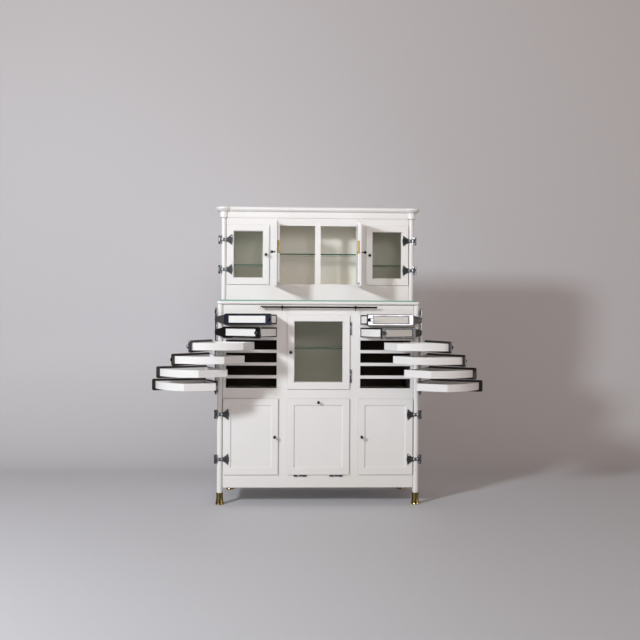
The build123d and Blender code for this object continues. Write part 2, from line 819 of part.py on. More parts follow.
# Fixed metal fittings: pivot rods with collars and brackets, fixed hinge halves with pins, and shelf pins
rod_low = first_slot - drawer_knuckle_height / 2 - rod_bracket_gap - rod_bracket_height
rod_high = top_slot + drawer_knuckle_height / 2 + rod_bracket_gap + rod_bracket_height
with BuildPart() as fixed_fittings:
    for side in (1, -1):
        rod = swing_plane(pivot_x, pivot_y, side, 0)
        web_x = pivot_x - column_x
        web_y = column_y - pivot_y
        web_length = hypot(web_x, web_y)
        web_turn = side * degrees(atan2(web_y, web_x))
        with BuildSketch(rod.offset(rod_low)):
            Circle(rod_radius)
        extrude(amount=rod_high - rod_low)
        knuckle_ends = [rod_low + rod_bracket_height]
        for centre in slot_centres:
            knuckle_ends += [centre - drawer_knuckle_height / 2, centre + drawer_knuckle_height / 2]
        knuckle_ends.append(rod_high - rod_bracket_height)
        for low, high in zip(knuckle_ends[::2], knuckle_ends[1::2]):
            with BuildSketch(rod.offset(low + end_play)):
                Circle(collar_radius)
            extrude(amount=high - low - 2 * end_play)
        for low in (rod_low, rod_high - rod_bracket_height):
            with BuildSketch(rod.offset(low)):
                Circle(lug_radius)
                with Locations((web_x / 2, side * web_y / 2)):
                    Rectangle(web_length, lug_web, rotation=web_turn)
                with Locations((web_x, side * web_y)):
                    Circle(column_radius, mode=Mode.SUBTRACT)
                Circle(rod_radius + running, mode=Mode.SUBTRACT)
            extrude(amount=rod_bracket_height)
    for door in doors:
        for middle in hinge_heights(door):
            if door.column:
                web_x = pivot_x - column_x
                web_y = door.column[0] - door.closed.origin.Y
                web_turn = door.side * degrees(atan2(web_y, web_x))
                lug_gap = knuckle_height / 2 + end_play
                for low in (middle - lug_gap - lug_height, middle + lug_gap):
                    with BuildSketch(door.closed.offset(low)):
                        Circle(lug_radius)
                        with Locations((web_x / 2, door.side * web_y / 2)):
                            Rectangle(hypot(web_x, web_y), lug_web, rotation=web_turn)
                        with Locations((web_x, door.side * web_y)):
                            Circle(door.column[1], mode=Mode.SUBTRACT)
                    extrude(amount=lug_height)
                with BuildSketch(door.closed.offset(middle - lug_gap - lug_height)):
                    Circle(pin_radius)
                extrude(amount=2 * (lug_gap + lug_height))
            else:
                end_length = (butt_length - butt_middle) / 2 - end_play
                for low in (middle - butt_length / 2, middle + butt_length / 2 - end_length):
                    with BuildSketch(door.closed.offset(low)):
                        Circle(butt_radius)
                        with Locations((-butt_foot / 2, door.side * face_gap / 2)):
                            Rectangle(butt_foot, face_gap)
                    extrude(amount=end_length)
                with BuildSketch(door.closed.offset(middle - butt_length / 2)):
                    Circle(butt_pin)
                extrude(amount=butt_length)
    for shelf in shelves:
        for wall, into in ((shelf.low_x, 1), (shelf.high_x, -1)):
            for y in (shelf.front + shelf_pin_inset, shelf.back - shelf_pin_inset):
                pin_middle = (wall, y, shelf.height - shelf_pin_radius)
                with BuildSketch(Plane(origin=pin_middle, x_dir=(0, 1, 0), z_dir=(into, 0, 0))):
                    Circle(shelf_pin_radius)
                extrude(amount=shelf_pin_reach)
save(fixed_fittings, "fixed_fittings")
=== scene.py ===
"""Dresses a white enamelled dental cabinet: finishes, small fittings and a plain studio."""

import json
from dataclasses import dataclass
from math import cos, pi, radians, sin

import bpy
from bpy.props import FloatProperty, FloatVectorProperty, PointerProperty
from bpy.types import Operator, Panel, PropertyGroup
from mathutils import Euler, Matrix, Vector


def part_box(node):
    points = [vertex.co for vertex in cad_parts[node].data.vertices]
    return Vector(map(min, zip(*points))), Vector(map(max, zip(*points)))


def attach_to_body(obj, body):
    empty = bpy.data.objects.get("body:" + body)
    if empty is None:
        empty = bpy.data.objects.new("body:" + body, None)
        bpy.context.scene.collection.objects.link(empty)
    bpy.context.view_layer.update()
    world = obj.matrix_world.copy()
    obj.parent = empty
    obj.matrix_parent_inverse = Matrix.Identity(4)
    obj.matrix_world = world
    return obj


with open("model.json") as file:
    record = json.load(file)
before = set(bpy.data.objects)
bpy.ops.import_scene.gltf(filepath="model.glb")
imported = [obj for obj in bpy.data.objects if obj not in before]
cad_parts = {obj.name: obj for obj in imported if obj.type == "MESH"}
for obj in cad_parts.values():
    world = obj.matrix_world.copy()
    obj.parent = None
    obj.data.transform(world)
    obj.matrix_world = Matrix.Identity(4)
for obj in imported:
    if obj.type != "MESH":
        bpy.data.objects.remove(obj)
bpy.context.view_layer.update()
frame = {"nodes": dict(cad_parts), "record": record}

bl_info = {
    "name": "Dental Cabinet Dressing",
    "version": (1, 0, 0),
    "blender": (4, 5, 0),
    "location": "3D View > Sidebar > Cabinet",
    "description": "Finishes, fittings and a plain studio for a white enamelled dental cabinet",
    "category": "Add Mesh",
}

MM = 0.001
TOUCHING = 1e-5
ALIGNED = 0.9
UP = Vector((0, 0, 1))
SMOOTH_ANGLE = radians(40)
GLASS_IOR = 1.5

glass_low, glass_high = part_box("worktop_glass")
CENTRE_X = (glass_low[0] + glass_high[0]) / 2
WORKTOP_Z = glass_high[2]
FACE_Y = round(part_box("base_face_frame")[0][1], 3)

OUTER_DOORS = ("lower_left_door", "lower_right_door", "upper_left_door", "upper_right_door")
CENTRE_DOORS = ("centre_left_door", "centre_right_door")
GLAZED_DOORS = ("upper_left_door", "upper_right_door", *CENTRE_DOORS, "glazed_door")
DRAWERS = [f"{side}_drawer_{number}" for side in ("left", "right") for number in range(1, 7)]

# Walls of the compartments in metres, where the paint changes: half widths, depth and heights
SIDE_WALL = (0.504, 0.5035)
BACK_WALL = (0.4115, 0.4110)
BOTTOM_DECK = (0.1465, 0.147)
BAY_WALL = (0.2108, 0.2112)
BAY_FLOOR = (0.574, 0.575)
BAY_TOP = (1.02, 1.019)
UPPER_FLOOR = (1.122, 1.123)
CENTRE_WALL = (0.247, 0.246)

# Turned fittings as rings, each a radius and a height in millimetres
BOSS_RINGS = ((5.4, -0.2), (5.4, 0.5), (4.7, 1.7), (3.2, 2.7), (1.1, 3.2))
BAND_RINGS = ((3.4, -7), (4.4, -6.2), (4.6, -5), (4.6, 5), (4.4, 6.2), (3.4, 7))
DROP_RINGS = (
    (2.2, -1), (2.2, 3), (1.5, 4), (1.5, 6), (3.2, 8), (3.2, 10), (1.6, 12), (0.4, 12.6)
)

# Turned fittings as rings in shares of their own radius
SCREW_RINGS = ((1, 0.16), (0.9, 0.36), (0.62, 0.56), (0.2, 0.64))
CAP_RINGS = ((1, -0.6), (1, 0.25), (0.9, 0.5), (0.6, 0.72), (0.2, 0.8))
FINIAL_RINGS = (
    (0.9, -0.3), (0.92, 0.5), (0.76, 0.62), (0.76, 0.8), (1.0, 1.05),
    (0.98, 1.4), (0.8, 1.75), (0.5, 2.0), (0.15, 2.1),
)

# Places on a butterfly hinge in millimetres from its pin, and the turn of each screw in degrees
ARM_ALONG, ARM_SUNK, NECK_ALONG = 14, 2, 31
FAN_SCREWS = ((47, 0, 15), (60.5, 16, 70), (60.5, -16, -35))


def at(x, y, z):
    """A place in millimetres from the centre line, the base face frame and the floor."""
    return Vector((CENTRE_X + x * MM, FACE_Y + y * MM, z * MM))


@dataclass
class Swing:
    """How a door or drawer hangs: its pivot, the side it hangs from and how far open it stands."""

    pivot: Vector
    side: int
    angle: float

    @property
    def along(self):
        """Direction from the pivot to the free end."""
        return Vector((self.side * cos(self.angle), -sin(self.angle), 0))

    @property
    def out(self):
        """Direction that the front faces."""
        return Vector((-self.side * sin(self.angle), -cos(self.angle), 0))

    def point(self, along, out, height):
        """A point along the piece and out from its pivot, in millimetres, at a height in metres."""
        place = self.pivot + self.along * along * MM + self.out * out * MM
        return Vector((place.x, place.y, height))

    def facing(self, along, out, height):
        """Matrix that stands a piece modelled along Z on the front, with its Y up."""
        turn = Matrix((self.side * self.along, UP, self.out)).transposed()
        return Matrix.Translation(self.point(along, out, height)) @ turn.to_4x4()


joints = {joint["name"]: joint for joint in frame["record"]["behaviour"]["joints"]}


def upright_swings():
    """The swing of each door and drawer that turns about an upright pin."""
    found = {}
    for name, joint in joints.items():
        turn = joint["axis"][2]
        if name.endswith("_swing") and turn:
            side = 1 if turn < 0 else -1
            angle = radians(-joint["range_deg"][0])
            found[name.removesuffix("_swing")] = Swing(Vector(joint["pos_m"]), side, angle)
    return found


swings = upright_swings()


class Wire:
    """A shader value. Arithmetic on it adds Math nodes to its tree."""

    def __init__(self, shading, socket):
        self.shading = shading
        self.socket = socket

    def math(self, operation, *values):
        """Add a Math node on these values."""
        return self.shading.node("Math", dict(enumerate(values)), operation=operation)

    def __add__(self, other):
        return self.math("ADD", self, other)

    def __radd__(self, other):
        return self.math("ADD", other, self)

    def __sub__(self, other):
        return self.math("SUBTRACT", self, other)

    def __rsub__(self, other):
        return self.math("SUBTRACT", other, self)

    def __mul__(self, other):
        return self.math("MULTIPLY", self, other)

    def __rmul__(self, other):
        return self.math("MULTIPLY", other, self)

    def __abs__(self):
        return self.math("ABSOLUTE", self)

    def ramp(self, low, high):
        """Rise smoothly from 0 at low to 1 at high."""
        inputs = {"Value": self, "From Min": low, "From Max": high}
        return self.shading.node("MapRange", inputs, interpolation_type="SMOOTHSTEP")

    def line(self, low, high, start, end):
        """Go straight from a start value at low to an end value at high."""
        inputs = {"Value": self, "From Min": low, "From Max": high, "To Min": start, "To Max": end}
        return self.shading.node("MapRange", inputs)


class Shading:
    """The node tree of a material or a world."""

    def __init__(self, owner):
        owner.use_nodes = True
        self.tree = owner.node_tree
        self.tree.nodes.clear()

    def node(self, kind, inputs=None, output=0, **settings):
        """Add a node: settings first, then the values or links of its sockets."""
        made = self.tree.nodes.new("ShaderNode" + kind)
        for name, value in settings.items():
            setattr(made, name, value)
        for name, value in (inputs or {}).items():
            if isinstance(value, Wire):
                self.tree.links.new(value.socket, made.inputs[name])
            else:
                made.inputs[name].default_value = value
        return Wire(self, made.outputs[output]) if made.outputs else None

    def part(self, vector, letter):
        """The X, Y or Z of a vector."""
        return self.node("SeparateXYZ", {"Vector": vector}, output=letter)

    def dot(self, vector, direction):
        """How far a vector reaches along a direction."""
        inputs = {0: vector, 1: direction}
        return self.node("VectorMath", inputs, output="Value", operation="DOT_PRODUCT")


class Finish(Shading):
    """A procedural material round one Principled shader."""

    # Sockets of a colour Mix node, by number because several share a name
    MIX_SHARE, MIX_FIRST, MIX_SECOND, MIX_RESULT = 0, 6, 7, 2
    EDGE_SAMPLES = 4

    def __init__(self, name):
        self.material = bpy.data.materials.new(name)
        super().__init__(self.material)
        self.spot = self.node("TexCoord", output="Object")

    def axis(self, letter):
        """One of the Object coordinates, in metres."""
        return self.part(self.spot, letter)

    def facing(self):
        """The surface's normal in Object coordinates."""
        return self.node("TexCoord", output="Normal")

    def mix(self, share, first, second):
        """Blend two colours."""
        inputs = {self.MIX_SHARE: share, self.MIX_FIRST: first, self.MIX_SECOND: second}
        return self.node("Mix", inputs, output=self.MIX_RESULT, data_type="RGBA")

    def cloud(self, scale, detail, stretch=None):
        """Soft noise from 0 to 1, scaled along each axis by a stretch."""
        spot = self.spot
        if stretch:
            spot = self.node("Mapping", {"Vector": spot, "Scale": stretch})
        return self.node("TexNoise", {"Vector": spot, "Scale": scale, "Detail": detail})

    def shaded_crevices(self, reach):
        """Painted shade by ambient occlusion: 1 deep in corners and gaps narrower than a reach, 0
        in the open.
        """
        inputs = {"Distance": reach}
        light = self.node("AmbientOcclusion", inputs, output="AO", samples=self.EDGE_SAMPLES)
        return (1 - light).ramp(0.2, 0.8)

    def eased(self, radius):
        """Normal with its edges rounded by a radius."""
        return self.node("Bevel", {"Radius": radius}, samples=self.EDGE_SAMPLES)

    def edges(self, eased):
        """1 along the edges that an eased normal rounds, 0 on the flats."""
        flat = self.node("NewGeometry", output="Normal")
        return (1 - self.dot(eased, flat)).ramp(0.005, 0.12)

    def bumped(self, height, distance, strength, normal=None):
        """Normal raised by a height."""
        inputs = {"Height": height, "Distance": distance, "Strength": strength}
        if normal:
            inputs["Normal"] = normal
        return self.node("Bump", inputs)

    def surface(self, **sockets):
        """Close the material with a Principled shader that has these sockets."""
        inputs = {name.replace("_", " "): value for name, value in sockets.items()}
        shader = self.node("BsdfPrincipled", inputs)
        self.node("OutputMaterial", {"Surface": shader})
        return self.material


def solid(colour):
    """A colour as a socket's value."""
    return (*colour, 1.0)


def shade(colour, share):
    """A share of a colour's brightness, as a socket's value."""
    return (*(value * share for value in colour), 1.0)


class CabinetFinishes(PropertyGroup):
    """Colours of the cabinet's finishes."""

    enamel: FloatVectorProperty(
        name="Enamel", description="Outside paint",
        default=(0.82, 0.812, 0.805), subtype="COLOR", size=3,
    )
    aged: FloatVectorProperty(
        name="Aged enamel", description="Paint where it has yellowed",
        default=(0.79, 0.775, 0.73), subtype="COLOR", size=3,
    )
    # Painted shade: the colour that ambient occlusion lays into corners and gaps
    crevice_shade: FloatVectorProperty(
        name="Grime", description="Old dirt in corners and gaps",
        default=(0.30, 0.235, 0.19), subtype="COLOR", size=3,
    )
    # Paint lighter and creamier than the outside enamel: painted light and warm shade in the open
    # compartment
    inside: FloatVectorProperty(
        name="Inside", description="Paint inside the open centre compartment",
        default=(0.90, 0.875, 0.80), subtype="COLOR", size=3,
    )
    # Paint darker and more olive than the outside enamel: painted shade behind the glass
    behind_glass: FloatVectorProperty(
        name="Behind glass", description="Paint inside the glazed compartments",
        default=(0.76, 0.775, 0.66), subtype="COLOR", size=3,
    )
    stain: FloatVectorProperty(
        name="Stain", description="Wear on the paint of the compartments",
        default=(0.2, 0.18, 0.14), subtype="COLOR", size=3,
    )
    # Bare wood, darkened further as painted shade in the drawer bays
    bay: FloatVectorProperty(
        name="Drawer bay", description="Bare wood behind the drawers",
        default=(0.085, 0.06, 0.042), subtype="COLOR", size=3,
    )
    nickel: FloatVectorProperty(
        name="Nickel", description="Plated fittings",
        default=(0.56, 0.56, 0.58), subtype="COLOR", size=3,
    )
    # Steel darkened as painted shade on the backs and arms of the drawer fronts
    steel_and_painted_shade: FloatVectorProperty(
        name="Steel", description="Backs and arms of the drawer fronts",
        default=(0.07, 0.06, 0.055), subtype="COLOR", size=3,
    )
    brass: FloatVectorProperty(
        name="Brass", description="Feet and lock plates",
        default=(0.62, 0.43, 0.16), subtype="COLOR", size=3,
    )
    patina: FloatVectorProperty(
        name="Patina", description="Brown patches on the brass",
        default=(0.24, 0.14, 0.05), subtype="COLOR", size=3,
    )
    pane: FloatVectorProperty(
        name="Pane", description="Haze of the door glass",
        default=(0.46, 0.47, 0.40), subtype="COLOR", size=3,
    )
    shelf_edge: FloatVectorProperty(
        name="Shelf edge", description="Cut edge of the shelves",
        default=(0.0, 0.105, 0.055), subtype="COLOR", size=3,
    )
    shelf_face: FloatVectorProperty(
        name="Shelf face", description="Body of the shelves",
        default=(0.05, 0.14, 0.10), subtype="COLOR", size=3,
    )
    worktop_edge: FloatVectorProperty(
        name="Worktop edge", description="Cut edge of the worktop glass",
        default=(0.17, 0.40, 0.33), subtype="COLOR", size=3,
    )
    worktop_face: FloatVectorProperty(
        name="Worktop face", description="Body of the worktop glass",
        default=(0.74, 0.84, 0.80), subtype="COLOR", size=3,
    )


class CabinetTrim(PropertyGroup):
    """Sizes and places of the small fittings."""

    hinge_screw: FloatProperty(
        name="Hinge screw", description="Radius of a hinge screw's head",
        default=3.2 * MM, unit="LENGTH",
    )
    fan_height: FloatProperty(
        name="Hinge leaf", description="Height of a butterfly leaf",
        default=58 * MM, unit="LENGTH",
    )
    lock_width: FloatProperty(
        name="Lock width", description="Width of a lock plate",
        default=10.6 * MM, unit="LENGTH",
    )
    lock_height: FloatProperty(
        name="Lock height", description="Height of a lock plate",
        default=68 * MM, unit="LENGTH",
    )
    lock_middle: FloatProperty(
        name="Lock middle", description="Height of the lock plates' middle",
        default=1.322, unit="LENGTH",
    )
    lock_screw: FloatProperty(
        name="Lock screw", description="Radius of a lock screw's head",
        default=2.3 * MM, unit="LENGTH",
    )
    lip_step: FloatProperty(
        name="Lip step", description="Edge of a centre door's lip to its block",
        default=11 * MM, unit="LENGTH",
    )
    glass_groove: FloatProperty(
        name="Glass groove", description="Depth of a pane in its groove",
        default=6 * MM, unit="LENGTH",
    )
    bead_width: FloatProperty(
        name="Bead width", description="Width of a glazing bead",
        default=3 * MM, unit="LENGTH",
    )
    bead_depth: FloatProperty(
        name="Bead depth", description="Depth of a front glazing bead",
        default=5 * MM, unit="LENGTH",
    )
    barrel_radius: FloatProperty(
        name="Barrel", description="Radius of a butt hinge's barrel",
        default=4.15 * MM, unit="LENGTH",
    )
    barrel_length: FloatProperty(
        name="Barrel length", description="Length of a butt hinge's middle barrel",
        default=25.6 * MM, unit="LENGTH",
    )
    butt_inset: FloatProperty(
        name="Butt inset", description="End of a leaf to the middle of its butt hinge",
        default=68 * MM, unit="LENGTH",
    )
    finial_radius: FloatProperty(
        name="Finial", description="Radius of a rod finial",
        default=5.6 * MM, unit="LENGTH",
    )
    rod_top: FloatProperty(
        name="Rod top", description="Top end of a drawer rod",
        default=0.9958, unit="LENGTH",
    )
    rod_bottom: FloatProperty(
        name="Rod bottom", description="Bottom end of a drawer rod",
        default=0.5743, unit="LENGTH",
    )
    rail_cap: FloatProperty(
        name="Rail cap", description="Radius of a towel rail cap",
        default=6.2 * MM, unit="LENGTH",
    )
    rail_ring: FloatProperty(
        name="Rail ring", description="Radius of a rail bracket's ring",
        default=8 * MM, unit="LENGTH",
    )
    rail_bracket: FloatProperty(
        name="Rail bracket", description="Centre line to a rail bracket",
        default=0.1875, unit="LENGTH",
    )
    back_screw: FloatProperty(
        name="Back screw", description="Radius of a back screw's head",
        default=3.6 * MM, unit="LENGTH",
    )


class StudioSettings(PropertyGroup):
    """Light, floor and camera."""

    floor: FloatVectorProperty(
        name="Floor", description="Floor and backdrop",
        default=(0.64, 0.64, 0.67), subtype="COLOR", size=3,
    )
    key: FloatProperty(
        name="Key", description="Soft light from the upper left", default=157.0, unit="POWER"
    )
    key_tint: FloatVectorProperty(
        name="Key tint", description="Colour of the key light",
        default=(0.87, 0.935, 0.985), subtype="COLOR", size=3,
    )
    top: FloatProperty(
        name="Top", description="Soft light in front of the upper unit", default=1.0, unit="POWER"
    )
    fill: FloatProperty(
        name="Fill", description="White panel at the right", default=12.0, unit="POWER"
    )
    sky: FloatProperty(
        name="Sky", description="Strength of the light from all round", default=0.26
    )
    frontal: FloatProperty(
        name="Frontal", description="Strength of the light from in front", default=0.69
    )
    sky_tint: FloatVectorProperty(
        name="Sky tint", description="Colour of the light from all round",
        default=(1.0, 0.80, 0.68), subtype="COLOR", size=3,
    )
    room_tint: FloatVectorProperty(
        name="Room tint", description="Colour of the room in reflections",
        default=(1.0, 0.96, 0.94), subtype="COLOR", size=3,
    )
    window_tint: FloatVectorProperty(
        name="Window tint", description="Colour of the window in reflections",
        default=(0.42, 0.55, 1.0), subtype="COLOR", size=3,
    )
    lens: FloatProperty(name="Lens", description="Focal length", default=46.14, unit="CAMERA")
    yaw: FloatProperty(
        name="Yaw", description="Turn of the camera to its left",
        default=radians(-2.03), subtype="ANGLE",
    )
    roll: FloatProperty(
        name="Roll", description="Roll of the camera", default=radians(0.3), subtype="ANGLE"
    )


class Paint(Finish):
    """Old paint put on with a brush."""

    def patches(self):
        """1 where the paint has yellowed, in wide patches."""
        return self.cloud(scale=2.3, detail=4).ramp(0.48, 0.72)

    def brushed(self):
        """Upright brush marks."""
        return self.cloud(scale=90, detail=2, stretch=(1, 1, 0.06))

    def dulled(self):
        """Roughness that the years have added."""
        return self.cloud(scale=14, detail=3) * 0.12


def enamel_finish(name, finishes, yellowing=0.5, crevice_shade=0.6):
    """Brushed enamel paint: slight yellowing, dust near the floor, painted shade in corners and
    gaps, and rubbed edges.
    """
    paint = Paint(name)
    eased = paint.eased(1.2 * MM)
    dusty = paint.axis("Z").ramp(280 * MM, 90 * MM)
    rubbed = paint.edges(eased) * paint.cloud(scale=38, detail=4).ramp(0.5, 0.62)
    aged = paint.patches() * yellowing + dusty * 0.25
    colour = paint.mix(aged, solid(finishes.enamel), solid(finishes.aged))
    colour = paint.mix(rubbed * 0.22, colour, shade(finishes.aged, 0.62))
    # Painted shade: ambient occlusion darkens corners and gaps towards the crevice shade colour
    colour = paint.mix(paint.shaded_crevices(9 * MM) * crevice_shade, colour, solid(finishes.crevice_shade))
    roughness = 0.33 + paint.dulled() + rubbed * 0.2
    peel = paint.cloud(scale=420, detail=2)
    relief = paint.brushed() * 0.6 + peel * 0.4
    normal = paint.bumped(relief, distance=0.12 * MM, strength=0.5, normal=eased)
    return paint.surface(Base_Color=colour, Roughness=roughness, Normal=normal, Coat_Weight=0.15)


def carcass_finish(name, finishes):
    """Enamel outside, greyer paint in the compartments and dark bare wood behind the drawers, with
    painted light and shade inside.
    """
    paint = Paint(name)
    eased = paint.eased(1 * MM)
    across = abs(paint.axis("X") - CENTRE_X)
    depth = paint.axis("Y") - FACE_Y
    height = paint.axis("Z")
    within = across.ramp(*SIDE_WALL) * depth.ramp(*BACK_WALL) * height.ramp(*BOTTOM_DECK)
    bay = within * across.ramp(*BAY_WALL) * height.ramp(*BAY_FLOOR) * height.ramp(*BAY_TOP)
    glazed = 1 - height.ramp(*UPPER_FLOOR) * across.ramp(*CENTRE_WALL)
    outside = paint.mix(paint.patches() * 0.5, solid(finishes.enamel), solid(finishes.aged))
    # Paint of the compartments, with painted light in the open centre and painted shade behind the
    # glass
    lining_and_shade = paint.mix(glazed, solid(finishes.inside), solid(finishes.behind_glass))
    stained = paint.cloud(scale=16, detail=5) * 0.12
    lining_and_shade = paint.mix(stained, lining_and_shade, solid(finishes.stain))
    grain = paint.cloud(scale=40, detail=4, stretch=(0.15, 1, 1))
    # Dark bare wood in the drawer bays, darkened further as painted shade
    bay_wood_and_shade = paint.mix(grain, solid(finishes.bay), shade(finishes.bay, 0.45))
    colour = paint.mix(bay, paint.mix(within, outside, lining_and_shade), bay_wood_and_shade)
    roughness = 0.36 + paint.dulled() + bay * 0.4
    normal = paint.bumped(paint.brushed(), distance=0.1 * MM, strength=0.5, normal=eased)
    return paint.surface(Base_Color=colour, Roughness=roughness, Normal=normal)


def nickel_finish(name, finishes, bright=1.0, chased=0.0, front=None):
    """Old nickel plate, polished or chased, its brightness scaled as painted light and shade. A
    drawer front's back and arm are dull steel, darkened as painted shade.
    """
    plate = Finish(name)
    # The plating's colour scaled up or down: painted light and shade on the nickel
    plating = Vector(finishes.nickel) * bright
    eased = plate.eased(1.2 * MM)
    tarnish = plate.cloud(scale=22, detail=5).ramp(0.42, 0.75)
    specks = plate.cloud(scale=260, detail=3).ramp(0.62, 0.74)
    colour = plate.mix(tarnish * 0.55, solid(plating), shade(plating, 0.42))
    colour = plate.mix(specks * 0.35, colour, shade(plating, 0.25))
    rubs = plate.cloud(scale=700, detail=2, stretch=(0.2, 1, 1))
    roughness = 0.06 + chased * 0.2 + tarnish * 0.12 + rubs * 0.05 + specks * 0.1
    if front:
        outer = plate.dot(plate.facing(), front.out).ramp(-0.6, -0.2)
        from_pivot = plate.node("VectorMath", {0: plate.spot, 1: -front.pivot})
        past_arm = plate.dot(from_pivot, front.along).ramp(47 * MM, 55 * MM)
        # The backs and arms of the drawer fronts are dull steel, darkened as painted shade
        dull = 1 - outer * past_arm
        colour = plate.mix(dull * 0.9, colour, solid(finishes.steel_and_painted_shade))
        roughness = roughness + dull * 0.3
    leaves = plate.cloud(scale=210, detail=2).ramp(0.36, 0.64) * (chased * 20)
    normal = plate.bumped(rubs + leaves, distance=0.02 * MM, strength=0.35, normal=eased)
    return plate.surface(Base_Color=colour, Roughness=roughness, Normal=normal, Metallic=1.0)


def brass_finish(name, finishes, satin=0.0):
    """Brass with brown patina in patches, polished or worn to a satin."""
    metal = Finish(name)
    eased = metal.eased(0.5 * MM)
    patina = metal.cloud(scale=45, detail=5).ramp(0.45, 0.75)
    colour = metal.mix(patina * 0.7, solid(finishes.brass), solid(finishes.patina))
    lathe_marks = metal.cloud(scale=900, detail=2, stretch=(0.05, 0.05, 1))
    roughness = 0.16 + patina * 0.22 + lathe_marks * 0.06 + satin * 0.3
    normal = metal.bumped(lathe_marks, distance=0.02 * MM, strength=0.4, normal=eased)
    metallic = 1 - satin * 0.75
    return metal.surface(Base_Color=colour, Roughness=roughness, Normal=normal, Metallic=metallic)


def pane_finish(name, finishes):
    """Old drawn door glass: a faint grey-green haze that closes up at a glancing view."""
    glass = Finish(name)
    glance = glass.node("Fresnel", {"IOR": GLASS_IOR})
    dust = glass.cloud(scale=9, detail=4).ramp(0.4, 0.8)
    colour = glass.mix(dust, solid(finishes.pane), shade(finishes.pane, 1.25))
    roughness = 0.04 + dust * 0.05
    alpha = 0.035 + dust * 0.03 + glance * 0.6
    wave = glass.cloud(scale=5, detail=1, stretch=(1, 1, 0.5))
    normal = glass.bumped(wave, distance=0.6 * MM, strength=0.25)
    return glass.surface(Base_Color=colour, Roughness=roughness, Alpha=alpha, Normal=normal)


def plate_glass_finish(name, finishes, edge, face, haze, shine, flat):
    """Plate glass of a CAD node whose cut edges show its green body colour, most in front."""
    glass = Finish(name)
    points = [vertex.co for vertex in frame["nodes"][name].data.vertices]
    low_front = min(point.y for point in points)
    raised = [point.y for point in points if point.z > WORKTOP_Z + MM]
    high_front = min(raised, default=low_front)
    above = glass.axis("Z").ramp(WORKTOP_Z + 10 * MM, WORKTOP_Z + 20 * MM)
    behind = glass.axis("Y") - low_front - above * (high_front - low_front)
    front = behind.ramp(30 * MM, 10 * MM)
    up = abs(glass.part(glass.facing(), "Z"))
    cut = up.ramp(flat, flat - 0.2) * (0.1 + front * 0.9)
    glow = behind.ramp(90 * MM, 30 * MM) * (1 - shine)
    glance = glass.node("Fresnel", {"IOR": GLASS_IOR})
    smear = glass.cloud(scale=12, detail=4)
    colour = glass.mix(cut, solid(getattr(finishes, face)), solid(getattr(finishes, edge)))
    roughness = 0.04 + smear * 0.05 + cut * 0.12
    alpha = haze + glance * (shine * 0.4) + cut * 0.95 + glow * 0.5 + smear * 0.05
    return glass.surface(
        Base_Color=colour, Roughness=roughness, Alpha=alpha, Specular_IOR_Level=shine * 0.6
    )


# Each finish's maker and the settings in which it departs from the plain one
FINISHES = {
    "enamel": (enamel_finish, {}),
    "door_enamel": (enamel_finish, {"yellowing": 0.35}),
    # The worktop board gets no painted shade in its corners and gaps
    "board_enamel": (enamel_finish, {"crevice_shade": 0.0}),
    "carcass_paint": (carcass_finish, {}),
    "nickel": (nickel_finish, {}),
    # Hinges and barrels: chased nickel at about half its brightness, a painted dark reflection
    "chased_nickel": (nickel_finish, {"bright": 0.55, "chased": 1.0}),
    # Bosses and bands: nickel brighter than plain plating, painted glints
    "bright_nickel": (nickel_finish, {"bright": 1.65, "chased": 1.6}),
    # Knobs and towel rail: nickel at a fifth of its brightness, a painted dark reflection
    "nickel_painted_dark_reflection": (nickel_finish, {"bright": 0.2}),
    "brass": (brass_finish, {}),
    "satin_brass": (brass_finish, {"satin": 1.0}),
    "door_glass": (pane_finish, {}),
    "glass_shelves": (
        plate_glass_finish,
        {"edge": "shelf_edge", "face": "shelf_face", "haze": 0.04, "shine": 0.25, "flat": 0.98},
    ),
    "worktop_glass": (
        plate_glass_finish,
        {"edge": "worktop_edge", "face": "worktop_face", "haze": 0.10, "shine": 0.8, "flat": 0.75},
    ),
    # Drawer fronts: nickel at half its brightness, a painted dark reflection
    **{
        f"{drawer}_nickel": (nickel_finish, {"bright": 0.5, "front": swings[drawer]})
        for drawer in DRAWERS
    },
}

finish_store = {}


def finish(name):
    """The cabinet's finish of that name, made at its first use."""
    if name not in finish_store:
        maker, settings = FINISHES[name]
        finish_store[name] = maker(name, bpy.context.scene.cabinet_finishes, **settings)
    return finish_store[name]


def dress(node, name):
    """Give a CAD node a finish."""
    slots = frame["nodes"][node].data.materials
    slots.clear()
    slots.append(finish(name))


class CABINET_OT_finishes(Operator):
    """Give every CAD piece its procedural finish"""

    bl_idname = "cabinet.finishes"
    bl_label = "Finishes"

    def execute(self, context):
        slots = {piece["node"]: piece["material_slot"] for piece in frame["record"]["subparts"]}
        slot_finish = {
            "white_enamel": "enamel", "nickel": "nickel", "brass": "brass", "glass": "door_glass"
        }
        special = {
            "carcass_panels": "carcass_paint", "glass_shelves": "glass_shelves",
            "worktop_glass": "worktop_glass", "worktop_moulding": "board_enamel",
        }
        for node in frame["nodes"]:
            name = special.get(node, slot_finish[slots[node]])
            if name == "enamel" and ("door" in node or "drop" in node or "tray" in node):
                name = "door_enamel"
            elif node.endswith("_hinges"):
                name = "chased_nickel"
            elif node.endswith("_knob") or node == "towel_rail":
                # Knobs and the towel rail get nickel darkened as a painted dark reflection
                name = "nickel_painted_dark_reflection"
            elif node.endswith("_front") and "drawer" in node:
                # Drawer fronts get their nickel at half brightness, a painted dark reflection
                name = node.replace("_front", "_nickel")
            dress(node, name)
        return {"FINISHED"}


def clear_selection():
    """Leave edit mode and select nothing."""
    if bpy.context.object and bpy.context.object.mode != "OBJECT":
        bpy.ops.object.mode_set(mode="OBJECT")
    bpy.ops.object.select_all(action="DESELECT")


def take_up(piece):
    """Select one piece alone and make it the active one."""
    clear_selection()
    piece.select_set(True)
    bpy.context.view_layer.objects.active = piece


